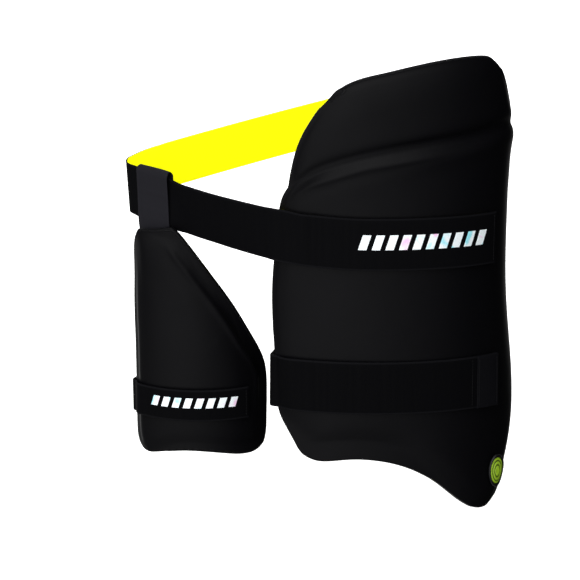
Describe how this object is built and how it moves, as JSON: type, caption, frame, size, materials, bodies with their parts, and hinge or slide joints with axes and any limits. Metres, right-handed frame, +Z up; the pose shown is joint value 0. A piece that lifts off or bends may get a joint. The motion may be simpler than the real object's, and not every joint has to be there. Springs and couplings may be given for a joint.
{
  "type": "cricket thigh guard",
  "caption": "Combined thigh guard: a large curved pad for the front leg and hip, a small pad for the inner thigh, a sloping waist belt and elastic leg straps.",
  "frame": {"origin": "middle of the waist, inside the belt, where the guard is worn", "axes": "+X to the wearer's left, +Y to the wearer's back, +Z up"},
  "size_m": [0.34, 0.2271, 0.3988],
  "materials": {
    "pad": "smooth charcoal cloth pressed over foam",
    "elastic": "black woven elastic",
    "lining": "bright yellow brushed elastic",
    "hanger": "soft dark grey elastic",
    "tab": "dark grey coated pull tab",
    "badge_border": "soft black moulding",
    "badge": "yellow-green soft moulding"
  },
  "bodies": {
    "root": {"outer_pad": "pad", "inner_pad": "pad", "waist_belt": "elastic", "belt_lining": "lining", "hanger_loop": "hanger", "outer_leg_strap": "elastic", "outer_strap_tab": "tab", "inner_leg_strap": "elastic", "badge_rim": "badge_border", "badge_disc": "badge"}
  },
  "joints": []
}
